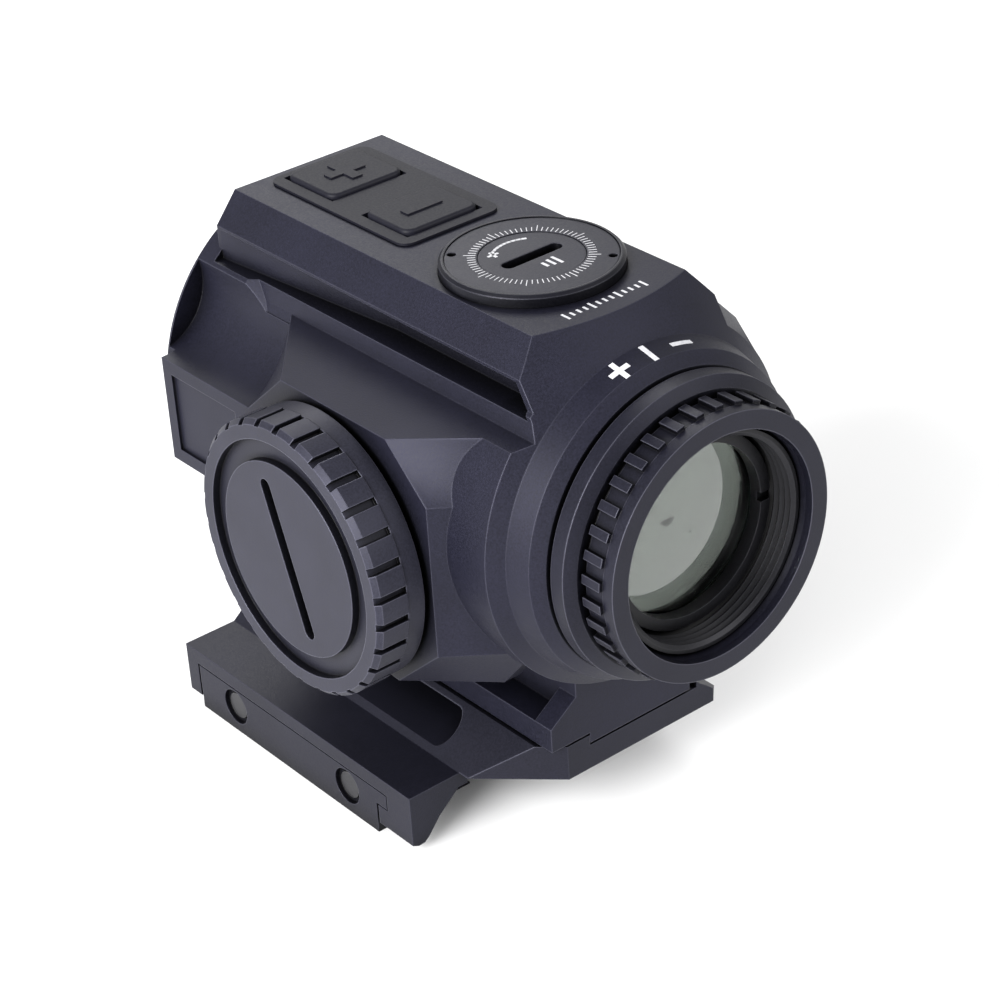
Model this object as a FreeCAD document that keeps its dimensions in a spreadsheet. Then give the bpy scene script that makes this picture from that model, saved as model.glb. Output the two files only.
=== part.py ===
import FreeCAD, Part
import math
import os
import re

import Sketcher
from FreeCAD import Placement, Rotation, Vector

# A compact 1x prism sight on a low riser that clamps to a slotted accessory rail.
# +Y is the way the user looks, +X is the user's right and +Z is up.
# The origin is the middle of the riser's seat on the rail, under the middle of the jaw.
# Sizes named "..._y" on the optical pieces run from the eyepiece's lip face towards the target.

SIZES = {
    "layout": {
        "eyepiece_reach": 43.85,
        "axis_height": 33.4,
        "turret_y": 25.7,
        "windage_y": 27.5,
        "windage_z": -1.0,
        "cap_y": 33.0,
        "cap_z": -4.2,
        "fit": 0.05,
    },
    "front of the housing": {
        "collar_face_y": 6.95,
        "collar_nose_radius": 15.6,
        "collar_edge_y": 8.0,
        "collar_edge_radius": 16.8,
        "collar_root_y": 10.55,
        "collar_root_radius": 17.4,
        "flare_radius": 18.9,
        "flare_slope": 0.8,
        "trim_radius": 26.0,
        "barrel_front_y": 17.5,
        "barrel_radius": 16.6,
    },
    "deck": {
        "deck_back_y": 61.55,
        "deck_top": 20.35,
        "deck_half": 9.5,
        "side_half": 12.15,
        "shoulder": 17.2,
        "slot_inner": 9.6,
        "slot_front_y": 14.0,
        "slot_deep_y": 35.0,
        "slot_back_y": 61.0,
        "slot_lip": 0.3,
        "slot_nose_y": 12.1,
        "rib_half": 12.55,
        "rib_top": 13.7,
        "rib_low_half": 12.95,
        "rib_low": 12.0,
        "core_half": 13.3,
        "panel_top": 11.05,
        "core_low": -8.0,
        "rib_bevel": 0.75,
    },
    "side bosses": {
        "boss_x": 20.15,
        "boss_root_x": 12.95,
        "boss_core_x": 11.0,
        "boss_top": 10.2,
        "boss_root_top": 12.0,
        "boss_low_back": -9.0,
        "boss_low_end_y": 41.0,
        "boss_top_front_y": 24.0,
        "boss_top_back_y": 40.5,
        "boss_low_back_y": 46.9,
        "boss_front_y": 18.4,
        "boss_shoulder": 5.0,
        "boss_chin": -11.5,
        "boss_low": -17.4,
        "boss_low_front_y": 25.1,
        "boss_root_top_front_y": 12.4,
        "boss_root_top_back_y": 48.3,
        "boss_root_front_y": 12.5,
        "boss_root_back_y": 50.8,
        "boss_root_low_front_y": 17.6,
        "right_boss_x": 21.6,
        "right_root_x": 12.0,
        "right_brow": 17.0,
        "right_brow_y": 14.2,
        "right_shoulder": 8.8,
        "right_shoulder_y": 17.6,
        "right_back_y": 40.5,
        "right_low": -15.0,
        "right_corner": 3.0,
    },
    "side rails behind the bosses": {
        "wing_back_y": 62.4,
        "wing_front_y": 42.0,
        "wing_top": 4.7,
        "wing_low": -7.15,
        "wing_root_half": 13.0,
        "wing_root_low": -14.3,
        "panel_depth": 0.35,
        "panel_border": 1.5,
        "panel_front_y": 49.5,
        "cove_radius": 6.75,
        "cove_front_y": 41.0,
    },
    "objective end": {
        "bell_root_y": 51.0,
        "bell_start_y": 55.0,
        "bell_radius": 19.1,
        "bell_rim_y": 63.6,
        "bell_end_y": 64.5,
        "bell_lip_radius": 18.3,
        "objective_bore": 14.0,
        "objective_bore_y": 54.0,
        "objective_mouth": 15.0,
        "objective_mouth_y": 62.4,
        "objective_stop": 10.8,
        "objective_cell_inner": 12.6,
        "objective_cell_end_y": 61.6,
        "objective_seat": 11.2,
        "objective_seat_y": 55.4,
        "objective_radius": 12.5,
        "objective_edge_y": 57.9,
        "objective_bulge": 1.3,
        "objective_retainer_y": 58.25,
        "objective_retainer_end_y": 61.4,
        "objective_retainer_inner": 11.4,
    },
    "inside of the housing": {
        "sleeve_bore": 13.35,
        "sleeve_bore_end_y": 13.6,
        "cell_bore": 11.35,
        "cell_bore_end_y": 18.6,
        "cavity_half": 9.7,
        "cavity_top": 10.2,
        "cavity_low": -10.4,
        "cavity_front_y": 18.6,
        "cavity_back_y": 50.6,
    },
    "foot": {
        "foot_half": 9.3,
        "foot_top": -23.9,
        "foot_low": -26.6,
        "foot_front_y": 15.35,
        "foot_back_y": 59.0,
        "toe_depth": 1.2,
        "toe_length": 2.2,
        "toe_left": -4.3,
        "neck_half": 5.9,
        "web_top": -21.5,
        "web_depth": 2.5,
        "neck_back_y": 56.0,
        "belly_half": 12.5,
        "belly_floor_half": 9.0,
        "belly_front_y": 17.0,
    },
    "diopter ring": {
        "lip_radius": 13.7,
        "lip_hole": 11.73,
        "lip_width": 1.35,
        "lip_hole_end_y": 0.9,
        "knurl_radius": 14.1,
        "knurl_end_y": 3.75,
        "knurl_depth": 0.55,
        "knurl_width": 1.5,
        "knurl_count": 36,
        "neck_radius": 13.2,
        "flange_y": 4.15,
        "flange_nose": 14.3,
        "flange_edge_y": 4.8,
        "flange_radius": 15.5,
        "flange_back_y": 6.45,
        "sleeve_radius": 13.3,
        "sleeve_end_y": 12.6,
        "ring_bore": 11.35,
        "ring_bore_y": 2.5,
        "oring_groove_y": 9.4,
        "oring_section": 0.45,
        "oring_groove_depth": 0.95,
        "oring_groove_width": 1.4,
    },
    "ocular": {
        "ocular_front_y": 1.4,
        "ocular_back_y": 16.4,
        "ocular_thread": 10.5,
        "ocular_thread_end_y": 5.6,
        "ocular_mouth_end_y": 1.7,
        "ocular_mouth": 10.9,
        "ocular_seat": 9.9,
        "ocular_seat_end_y": 8.4,
        "ocular_stop": 8.6,
        "thread_pitch": 0.75,
        "thread_depth": 0.35,
        "ocular_lens_radius": 9.85,
        "ocular_lens_face_y": 4.4,
        "ocular_lens_back_y": 7.1,
        "ocular_lens_bulge": 1.5,
        "ocular_rear_lens_back_y": 8.35,
        "lens_air": 0.1,
        "ocular_retainer_front_y": 4.1,
        "ocular_retainer_back_y": 5.5,
        "ocular_retainer_radius": 10.1,
        "ocular_retainer_inner": 8.9,
        "spanner_slot": 1.0,
    },
    "keypad": {
        "pad_front_y": 37.6,
        "pad_back_y": 60.3,
        "pad_half": 6.2,
        "pad_lip": 0.45,
        "pad_corner": 1.4,
        "pad_rise": 0.3,
        "key_half": 4.6,
        "plus_front_y": 51.3,
        "plus_back_y": 59.4,
        "minus_front_y": 39.1,
        "minus_back_y": 46.3,
        "key_clearance": 0.15,
        "key_proud": 0.45,
        "key_low": 1.8,
        "key_corner": 1.2,
        "key_edge": 0.35,
        "sign_height": 0.18,
        "sign_reach": 2.2,
        "sign_half": 0.62,
        "key_flange": 0.3,
        "key_flange_height": 0.4,
        "board_sink": 2.6,
        "board_thickness": 0.8,
        "dome_radius": 2.0,
        "dome_height": 0.35,
    },
    "turrets": {
        "bezel_radius": 9.0,
        "bezel_rise": 1.25,
        "bezel_seat": 0.8,
        "bezel_bore": 8.45,
        "bezel_chamfer": 0.3,
        "dial_radius": 8.4,
        "dial_sink": 0.1,
        "dial_thickness": 1.9,
        "dial_hub": 7.45,
        "dial_hub_depth": 0.7,
        "dial_bore": 5.25,
        "notch_reach": 7.75,
        "notch_radius": 0.45,
        "rotor_radius": 5.2,
        "rotor_sink": 0.16,
        "rotor_flange": 6.6,
        "rotor_flange_top": 1.65,
        "rotor_flange_low": 3.2,
        "rotor_stem": 3.0,
        "rotor_stem_low": 6.0,
        "rotor_hollow_top": 1.5,
        "coin_slot_length": 7.2,
        "coin_slot_width": 1.5,
        "coin_slot_depth": 1.2,
        "turret_well": 7.5,
        "turret_well_depth": 3.4,
        "turret_bore": 3.1,
        "turret_bore_depth": 6.4,
        "plunger_radius": 1.75,
        "plunger_hole": 1.8,
        "plunger_top": 2.2,
        "plunger_reach": 0.6,
        "rotor_oring_section": 0.4,
    },
    "battery": {
        "neck_outer": 12.4,
        "neck_reach": 3.6,
        "well_radius": 10.4,
        "well_depth": 1.9,
        "contact_thickness": 0.5,
        "contact_radius": 9.6,
        "spring_thickness": 0.25,
        "spring_rim": 6.5,
        "spring_waist": 5.6,
        "spring_tip": 2.5,
        "spring_depth": 0.95,
        "cell_radius": 10.0,
        "cell_thickness": 3.2,
        "cell_gap": 0.05,
        "cap_back": 20.9,
        "cap_face": 26.45,
        "cap_radius": 14.45,
        "cap_flange_radius": 14.3,
        "cap_knurl_back": 22.9,
        "cap_knurl_depth": 0.6,
        "cap_knurl_width": 0.8,
        "cap_knurl_count": 30,
        "cap_bore": 12.5,
        "cap_bore_depth": 3.5,
        "cap_disc_radius": 10.25,
        "cap_channel_radius": 12.45,
        "cap_channel_depth": 0.9,
        "cap_edge": 0.5,
        "cap_slot_length": 16.8,
        "cap_slot_width": 1.6,
        "cap_slot_depth": 1.8,
        "cap_slot_tilt": 19.0,
        "cap_oring_section": 0.35,
        "cap_boss_radius": 9.0,
        "cap_boss": 1.05,
    },
    "prisms": {
        "prism_half": 7.4,
        "prism_height": 7.8,
        "front_prism_y": 23.0,
        "split_top_y": 29.2,
        "split_low_y": 37.8,
        "prism_air": 0.25,
        "rear_prism_end_y": 46.0,
        "holder_wall": 1.2,
        "holder_front_y": 22.4,
        "holder_back_y": 47.0,
        "clamp_plate_thickness": 0.6,
        "clamp_plate_front_y": 24.0,
        "clamp_plate_back_y": 45.0,
        "clamp_plate_screw": 0.4,
        "clamp_plate_screw_head": 0.85,
        "clamp_plate_screw_length": 2.5,
        "clamp_plate_screw_inset": 1.2,
        "carrier_front_y": 18.65,
        "carrier_back_y": 20.2,
        "reticle_thickness": 1.0,
        "reticle_radius": 6.4,
        "led_width": 2.0,
        "led_depth": 1.6,
        "led_low": 6.6,
        "led_height": 1.6,
        "pedestal_half": 3.0,
        "pedestal_front_y": 26.0,
        "pedestal_back_y": 44.0,
    },
    "riser": {
        "base_half": 14.6,
        "base_front": 28.5,
        "ledge_height": 2.55,
        "corner_cut": 7.3,
        "bar_outer": 21.05,
        "bar_half_length": 19.85,
        "bar_roof": 0.9,
        "seat_line": 0.25,
        "seat_line_depth": 0.8,
        "land_relief": 0.35,
        "screw_relief": 2.3,
        "end_gap": 0.3,
        "claw_low": 4.65,
        "claw_chamfer": 1.2,
        "end_low": 3.3,
        "right_corner_cut": 2.0,
        "rail_top_half": 7.83,
        "rail_half": 10.6,
        "rail_slope": 2.77,
        "rail_hook": 1.7,
        "rail_fit": 0.1,
        "jaw_gap": 0.15,
        "jaw_front": 14.35,
        "jaw_back": 17.85,
        "finger_reach": 2.7,
        "finger_low": 0.9,
        "window_front": -16.3,
        "window_back": 8.0,
        "window_low": 3.1,
        "window_height": 3.0,
        "window_end": -4.2,
        "screw_spacing": 20.02,
        "screw_middle": 1.0,
        "screw_drop": 1.5,
        "screw_radius": 1.5,
        "screw_head_radius": 2.9,
        "screw_head": 2.4,
        "screw_tip_sink": 0.35,
        "screw_counterbore": 2.05,
        "screw_counterbore_depth": 0.6,
        "socket_radius": 1.45,
        "socket_depth": 1.4,
        "foot_screw_sink": 0.4,
        "foot_screw_radius": 1.5,
        "foot_screw_head": 2.8,
        "foot_screw_head_height": 2.4,
        "foot_screw_bite": 2.6,
        "foot_screw_front": -19.0,
        "foot_screw_back": 12.0,
    },
}

SIGHT = "0", "-eyepiece_reach", "axis_height"
RAIL = "0", "0", "0"
CAP = "0", "cap_y - eyepiece_reach", "axis_height + cap_z"
KEYPAD = "0", "-eyepiece_reach", "axis_height + deck_top"
ELEVATION = "0", "turret_y - eyepiece_reach", "axis_height + deck_top"
WINDAGE = "right_boss_x", "windage_y - eyepiece_reach", "axis_height + windage_z"

# The swept underside of the clamp bar's ends: reach past the base's side, height.
END_CURVE = [
    ("5.7", "-end_low - 0.35"), ("4.9", "-end_low - 0.3"), ("4.2", "0.3 - end_low"),
    ("2.8", "-1.3"), ("1.4", "-0.15"), ("0.3", "0.8"), ("-0.2", "2"),
]

# For each axis: the sketch plane across it, the sign of that plane's normal along the axis.
PLANES = {"X": ("YZ_Plane", 1), "Y": ("XZ_Plane", -1), "Z": ("XY_Plane", 1)}

doc = FreeCAD.newDocument("prism_sight")
sheet = doc.addObject("Spreadsheet::Sheet", "sizes")
nodes = []


def fill_sheet():
    """One row per size: its name in column A, its value in column B under the same alias."""
    row = 1
    for group, sizes in SIZES.items():
        sheet.set(f"A{row}", group)
        row += 1
        for name, size in sizes.items():
            sheet.set(f"A{row}", name)
            sheet.set(f"B{row}", str(size))
            sheet.setAlias(f"B{row}", name)
            row += 1
    doc.recompute()


def tied(text):
    """The expression text as another object of the document writes it."""
    return re.sub(r"[a-z][a-z_]+", lambda word: "sizes." + word.group(), text)


def number(text):
    return float(sheet.evalExpression(text))


def bind(thing, name, text):
    setattr(thing, name, number(text))
    thing.setExpression(name, tied(text))


def stand(thing, label, frame, turn=None):
    """Names a piece, puts it in its frame and lists it for export."""
    thing.Label = label
    if turn:
        thing.Placement = Placement(Vector(), turn)
    for axis, text in zip("xyz", frame):
        thing.setExpression(f"Placement.Base.{axis}", tied(text))
    nodes.append(thing)
    return thing


def new_body(label, frame, turn=None):
    return stand(doc.addObject("PartDesign::Body", label), label, frame, turn)


def plane_sketch(body, axis, away, name):
    """A sketch across an axis of the body, away from its origin along that axis."""
    role, sign = PLANES[axis]
    sketch = body.newObject("Sketcher::SketchObject", name + "_sketch")
    plane = next(item for item in body.Origin.OriginFeatures if item.Role == role)
    sketch.AttachmentSupport = [(plane, "")]
    sketch.MapMode = "FlatFace"
    away = away if sign > 0 else f"-({away})"
    sketch.AttachmentOffset = Placement(Vector(0, 0, number(away)), Rotation())
    sketch.setExpression("AttachmentOffset.Base.z", tied(away))
    return sketch


def place_point(sketch, edge, end, across, up):
    """Holds one end of an edge at its two distances from the sketch's origin."""
    for kind, text, on_axis in (("DistanceX", across, -2), ("DistanceY", up, -1)):
        if text == "0":
            sketch.addConstraint(Sketcher.Constraint("PointOnObject", edge, end, on_axis))
            continue
        value = number(text)
        held = sketch.addConstraint(Sketcher.Constraint(kind, -1, 1, edge, end, value))
        sketch.setExpression(f"Constraints[{held}]", tied(text))


def add_outline(sketch, corners):
    """A closed outline of straight edges through its corners."""
    points = [Vector(number(across), number(up), 0) for across, up in corners]
    first = sketch.GeometryCount
    for start, end in zip(points, points[1:] + points[:1]):
        sketch.addGeometry(Part.LineSegment(start, end), False)
    for index, (across, up) in enumerate(corners):
        following = first + (index + 1) % len(corners)
        sketch.addConstraint(Sketcher.Constraint("Coincident", first + index, 2, following, 1))
        place_point(sketch, first + index, 1, across, up)


def add_circle(sketch, across, up, radius):
    centre = Vector(number(across), number(up), 0)
    ring = sketch.addGeometry(Part.Circle(centre, Vector(0, 0, 1), number(radius)), False)
    place_point(sketch, ring, 3, across, up)
    held = sketch.addConstraint(Sketcher.Constraint("Radius", ring, number(radius)))
    sketch.setExpression(f"Constraints[{held}]", tied(radius))


def add_slot(sketch, across, up, length, width):
    """A slot with round ends that lies along the sketch's first axis."""
    reach = f"({length} - {width}) / 2"
    half = number(width) / 2
    ends = [(f"{across} - {reach}", 90, 270), (f"{across} + {reach}", -90, 90)]
    arcs = []
    for middle, start, end in ends:
        centre = Vector(number(middle), number(up), 0)
        circle = Part.Circle(centre, Vector(0, 0, 1), half)
        arc = Part.ArcOfCircle(circle, math.radians(start), math.radians(end))
        arcs.append(sketch.addGeometry(arc, False))
        place_point(sketch, arcs[-1], 3, middle, up)
    left, right = arcs
    y = number(up)
    x_left, x_right = number(ends[0][0]), number(ends[1][0])
    low = sketch.addGeometry(Part.LineSegment(Vector(x_left, y - half, 0), Vector(x_right, y - half, 0)))
    high = sketch.addGeometry(Part.LineSegment(Vector(x_right, y + half, 0), Vector(x_left, y + half, 0)))
    for one, its_end, other, other_end in (
        (left, 2, low, 1), (low, 2, right, 1), (right, 2, high, 1), (high, 2, left, 1),
    ):
        sketch.addConstraint(Sketcher.Constraint("Tangent", one, its_end, other, other_end))
    held = sketch.addConstraint(Sketcher.Constraint("Radius", left, half))
    sketch.setExpression(f"Constraints[{held}]", tied(f"{width} / 2"))


def check_step(body, before, adds):
    """Stops the build when a feature did not change the body the way it should."""
    doc.recompute()
    after = body.Shape.Volume
    if (after <= before) if adds else (after >= before):
        raise RuntimeError(f"{body.Label}: {body.Tip.Label} changed nothing")


def volume_of(body):
    return body.Shape.Volume if body.Tip else 0.0


def slab(body, name, axis, start, end, outlines=(), circles=(), slots=(), cut=False):
    """Adds or cuts the material inside a flat drawing, from start to end along an axis."""
    before = volume_of(body)
    sketch = plane_sketch(body, axis, start, name)
    for corners in outlines:
        add_outline(sketch, corners)
    for circle in circles:
        add_circle(sketch, *circle)
    for slot in slots:
        add_slot(sketch, *slot)
    feature = body.newObject("PartDesign::Pocket" if cut else "PartDesign::Pad", name)
    feature.Profile = sketch
    bind(feature, "Length", f"{end} - ({start})")
    along_normal = PLANES[axis][1] > 0
    feature.Reversed = along_normal if cut else not along_normal
    check_step(body, before, not cut)
    return feature


def turned(body, name, axis, corners, cut=False):
    """Adds or cuts a turned shape. A corner is its radius, then its place along the axis."""
    before = volume_of(body)
    plane, along = {"X": ("Z", "H_Axis"), "Y": ("Z", "V_Axis"), "Z": ("Y", "V_Axis")}[axis]
    sketch = plane_sketch(body, plane, "0", name)
    if axis == "X":
        corners = [(place, radius) for radius, place in corners]
    add_outline(sketch, corners)
    feature = body.newObject("PartDesign::Groove" if cut else "PartDesign::Revolution", name)
    feature.Profile = sketch
    feature.ReferenceAxis = (sketch, [along])
    feature.Angle = 360
    check_step(body, before, not cut)
    return feature


def loft(body, name, axis, first, second):
    """Adds material with flat sides between two drawings: each is its place and its corners."""
    before = volume_of(body)
    sketches = []
    for index, (place, corners) in enumerate((first, second)):
        sketches.append(plane_sketch(body, axis, place, f"{name}_{index}"))
        add_outline(sketches[-1], corners)
    feature = body.newObject("PartDesign::AdditiveLoft", name)
    feature.Profile = sketches[0]
    feature.Sections = [sketches[1]]
    feature.Ruled = True
    check_step(body, before, True)
    return feature


def mirrored(body, name, features):
    """Repeats features on the other side of the middle plane."""
    before = volume_of(body)
    middle = next(item for item in body.Origin.OriginFeatures if item.Role == "YZ_Plane")
    mirror = body.newObject("PartDesign::Mirrored", name)
    mirror.Originals = features
    mirror.MirrorPlane = (middle, [""])
    body.Tip = mirror
    doc.recompute()
    if abs(body.Shape.Volume - before) < 1e-6:
        raise RuntimeError(f"{body.Label}: {name} changed nothing")


def repeated(body, name, feature, axis, count):
    """Repeats a cut evenly round an axis of the body."""
    before = volume_of(body)
    line = next(item for item in body.Origin.OriginFeatures if item.Role == axis + "_Axis")
    pattern = body.newObject("PartDesign::PolarPattern", name)
    pattern.Originals = [feature]
    pattern.Axis = (line, [""])
    pattern.Angle = 360
    pattern.Occurrences = int(number(count))
    pattern.setExpression("Occurrences", tied(count))
    body.Tip = pattern
    check_step(body, before, False)


def rounded(body, name, radius, low, high):
    """Rounds the straight edges that lie between two heights: uprights, or a top's rim."""
    before, base = volume_of(body), body.Tip
    low, high = number(low) - 1e-4, number(high) + 1e-4
    flat = high - low < 0.01
    names = []
    for index, edge in enumerate(base.Shape.Edges):
        box = edge.BoundBox
        inside = low <= box.ZMin and box.ZMax <= high
        if inside and (flat or box.ZLength > max(box.XLength, box.YLength)):
            names.append(f"Edge{index + 1}")
    fillet = body.newObject("PartDesign::Fillet", name)
    fillet.Base = (base, names)
    bind(fillet, "Radius", radius)
    check_step(body, before, False)


def box_outline(left, low, right, high):
    return [(left, low), (right, low), (right, high), (left, high)]


def both_sides(corners):
    """Corners given for the right side, followed by their mirror images on the left."""
    return corners + [(f"-({across})", up) for across, up in reversed(corners)]


def housing_shell(body):
    """The outside of the sight: round barrel, flat-topped deck, ribs and undercut slots."""
    slope_y = "collar_root_y + flare_slope * ({} - collar_root_radius)".format
    slab(body, "deck", "Y", "collar_root_y", "deck_back_y", [both_sides([
        ("core_half", "core_low"), ("core_half", "panel_top"), ("rib_low_half", "rib_low"),
        ("rib_half", "rib_top"), ("side_half", "rib_top + rib_bevel"),
        ("side_half", "shoulder"), ("deck_half", "deck_top")])])
    turned(body, "front_trim", "Y", [
        ("collar_root_radius", "collar_face_y"), ("collar_root_radius", "collar_root_y"),
        ("trim_radius", slope_y("trim_radius")), ("trim_radius", "collar_face_y")], cut=True)
    turned(body, "barrel", "Y", [
        ("0", "collar_face_y"), ("collar_nose_radius", "collar_face_y"),
        ("collar_edge_radius", "collar_edge_y"), ("collar_root_radius", "collar_root_y"),
        ("flare_radius", slope_y("flare_radius")), ("flare_radius", "barrel_front_y"),
        ("barrel_radius", "barrel_front_y"), ("barrel_radius", "bell_root_y"),
        ("bell_radius", "bell_start_y"), ("bell_radius", "bell_rim_y"),
        ("bell_lip_radius", "bell_end_y"), ("0", "bell_end_y")])
    slab(body, "shelf_nose", "Y", "collar_root_y - 1", "barrel_front_y + 0.1", [[
        ("-rib_low_half", "rib_low"), ("-boss_x", "boss_top"), ("-boss_x", "rib_top + 1"),
        ("-rib_half", "rib_top + 1"), ("-rib_half", "rib_top")]], cut=True)
    slot = slab(body, "undercut", "Z", "rib_top", "shoulder - slot_lip", [[
        ("slot_inner", "slot_front_y"), ("core_half + 1", "slot_front_y"),
        ("core_half + 1", "slot_back_y"), ("side_half", "slot_back_y"),
        ("slot_inner", "slot_deep_y")]], cut=True)
    nose = slab(body, "undercut_nose", "X", "slot_inner", "core_half + 1", [[
        ("slot_front_y", "shoulder - slot_lip"), ("slot_nose_y", "rib_top"),
        ("slot_front_y + 1", "rib_top"), ("slot_front_y + 1", "shoulder - slot_lip")]], cut=True)
    mirrored(body, "left_undercut", [slot, nose])


def housing_wings(body):
    """The side rails behind the bosses, each with a cove above it and a sunk panel."""
    wing = slab(body, "wing", "Y", "wing_front_y", "wing_back_y", [[
        ("boss_core_x", "panel_top"), ("boss_x", "panel_top"), ("boss_x", "wing_low"),
        ("wing_root_half", "wing_root_low"), ("boss_core_x", "wing_root_low")]])
    mirrored(body, "left_wing", [wing])
    cove = slab(body, "cove", "Y", "cove_front_y", "wing_back_y + 1", cut=True,
                circles=[("boss_x", "wing_top + cove_radius", "cove_radius")])
    mirrored(body, "left_cove", [cove])
    panel = slab(body, "side_panel", "X", "boss_x - panel_depth", "boss_x + 1", [box_outline(
        "panel_front_y", "wing_low + panel_border",
        "wing_back_y - panel_border", "wing_top - panel_border")], cut=True)
    mirrored(body, "left_side_panel", [panel])


def housing_bosses(body):
    """The battery boss on the left and the windage boss on the right."""
    root = [
        ("boss_root_top_front_y", "boss_root_top"), ("boss_root_top_back_y", "boss_root_top"),
        ("boss_root_back_y", "wing_top"), ("boss_root_back_y", "boss_chin"),
        ("boss_low_end_y", "boss_low"), ("boss_root_low_front_y", "boss_low"),
        ("boss_root_front_y", "boss_chin"), ("boss_root_front_y", "boss_shoulder")]
    face = [
        ("boss_top_front_y", "boss_top"), ("boss_top_back_y", "boss_top"),
        ("boss_low_back_y", "wing_top"), ("boss_low_back_y", "boss_low_back"),
        ("boss_low_end_y", "boss_low + 1"), ("boss_low_front_y", "boss_low"),
        ("boss_front_y", "boss_chin"), ("boss_front_y", "boss_shoulder")]
    slab(body, "battery_boss_root", "X", "-boss_root_x", "-boss_core_x", [root])
    loft(body, "battery_boss", "X", ("-boss_root_x", root), ("-boss_x", face))
    root = [
        ("right_brow_y", "right_brow"), ("boss_root_top_back_y", "right_brow"),
        ("boss_root_back_y", "right_shoulder"), ("boss_root_back_y", "boss_chin"),
        ("boss_low_end_y", "right_low"), ("boss_root_low_front_y", "right_low"),
        ("boss_root_front_y", "boss_chin"), ("boss_root_front_y", "right_shoulder")]
    face = [
        ("right_shoulder_y + right_corner", "right_shoulder"),
        ("right_back_y - right_corner", "right_shoulder"),
        ("right_back_y", "right_shoulder - right_corner"),
        ("right_back_y", "boss_chin + right_corner"),
        ("right_back_y - right_corner", "boss_chin"),
        ("right_shoulder_y + right_corner", "boss_chin"),
        ("right_shoulder_y", "boss_chin + right_corner"),
        ("right_shoulder_y", "right_shoulder - right_corner")]
    loft(body, "windage_boss", "X", ("right_root_x", root), ("right_boss_x", face))


def housing_foot(body):
    """The belly, the neck under it and the foot plate with the toe that locates the riser."""
    slab(body, "belly", "Y", "belly_front_y", "boss_root_back_y", [both_sides([
        ("belly_floor_half", "boss_low"), ("belly_half", "boss_chin"),
        ("belly_half", "core_low")])])
    slab(body, "neck", "Y", "foot_front_y", "neck_back_y",
         [box_outline("-neck_half", "foot_low", "neck_half", "boss_chin")])
    slab(body, "web", "Y", "foot_front_y", "foot_front_y + web_depth", [both_sides([
        ("foot_half", "foot_top"), ("neck_half", "web_top")])])
    slab(body, "foot", "Z", "foot_low", "foot_top",
         [box_outline("-foot_half", "foot_front_y", "foot_half", "foot_back_y")])
    slab(body, "toe", "Z", "foot_low - toe_depth", "foot_low", [box_outline(
        "toe_left", "foot_front_y", "foot_half", "foot_front_y + toe_length")])


def housing_optics(body):
    """The bores for the eyepiece and the objective, and the prism chamber between them."""
    turned(body, "eyepiece_bore", "Y", [
        ("0", "collar_face_y - 1"), ("sleeve_bore", "collar_face_y - 1"),
        ("sleeve_bore", "sleeve_bore_end_y"), ("cell_bore", "sleeve_bore_end_y"),
        ("cell_bore", "cell_bore_end_y"), ("0", "cell_bore_end_y")], cut=True)
    slab(body, "chamber", "Y", "cavity_front_y - 1", "cavity_back_y", [box_outline(
        "-cavity_half", "cavity_low", "cavity_half", "cavity_top")], cut=True)
    turned(body, "objective_bore_cut", "Y", [
        ("0", "cavity_back_y - 1"), ("objective_stop", "cavity_back_y - 1"),
        ("objective_stop", "objective_bore_y"), ("objective_bore", "objective_bore_y"),
        ("objective_bore", "objective_mouth_y"), ("objective_mouth", "objective_mouth_y"),
        ("objective_mouth", "bell_end_y + 1"), ("0", "bell_end_y + 1")], cut=True)


def pad_outline(inset):
    return box_outline(f"{inset} - pad_half", f"pad_front_y + {inset}",
                       f"pad_half - ({inset})", f"pad_back_y - ({inset})")


def housing_pockets(body):
    """The wells of the two turrets, the battery and the keypad, and the foot screw holes."""
    up, side = ("0", "turret_y"), ("windage_y", "windage_z")
    for name, axis, centre, top, inside in (
        ("elevation", "Z", up, "deck_top", "cavity_top"),
        ("windage", "X", side, "right_boss_x", "cavity_half"),
    ):
        for level, floor, radius in (
            ("seat", f"{top} - bezel_seat", "bezel_radius + fit"),
            ("well", f"{top} - turret_well_depth", "turret_well"),
            ("bore", f"{top} - turret_bore_depth", "turret_bore"),
            ("hole", f"{inside} - 1", "plunger_hole"),
        ):
            slab(body, f"{name}_{level}", axis, floor, f"{top} + 1",
                 circles=[(*centre, radius)], cut=True)
    slab(body, "battery_well", "X", "-(boss_x + 1)", "-(boss_x - well_depth)",
         circles=[("cap_y", "cap_z", "well_radius")], cut=True)
    slab(body, "keypad_well", "Z", "deck_top - board_sink - board_thickness", "deck_top + 1",
         [pad_outline("pad_lip - fit")], cut=True)
    holes = [("0", f"{place} + eyepiece_reach", "foot_screw_radius + fit")
             for place in ("foot_screw_front", "foot_screw_back")]
    slab(body, "foot_screw_holes", "Z", "foot_low - 1", "foot_low + foot_screw_bite + 0.1",
         circles=holes, cut=True)


def build_housing():
    body = new_body("housing", SIGHT)
    housing_shell(body)
    housing_wings(body)
    housing_bosses(body)
    housing_foot(body)
    housing_optics(body)
    housing_pockets(body)


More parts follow.
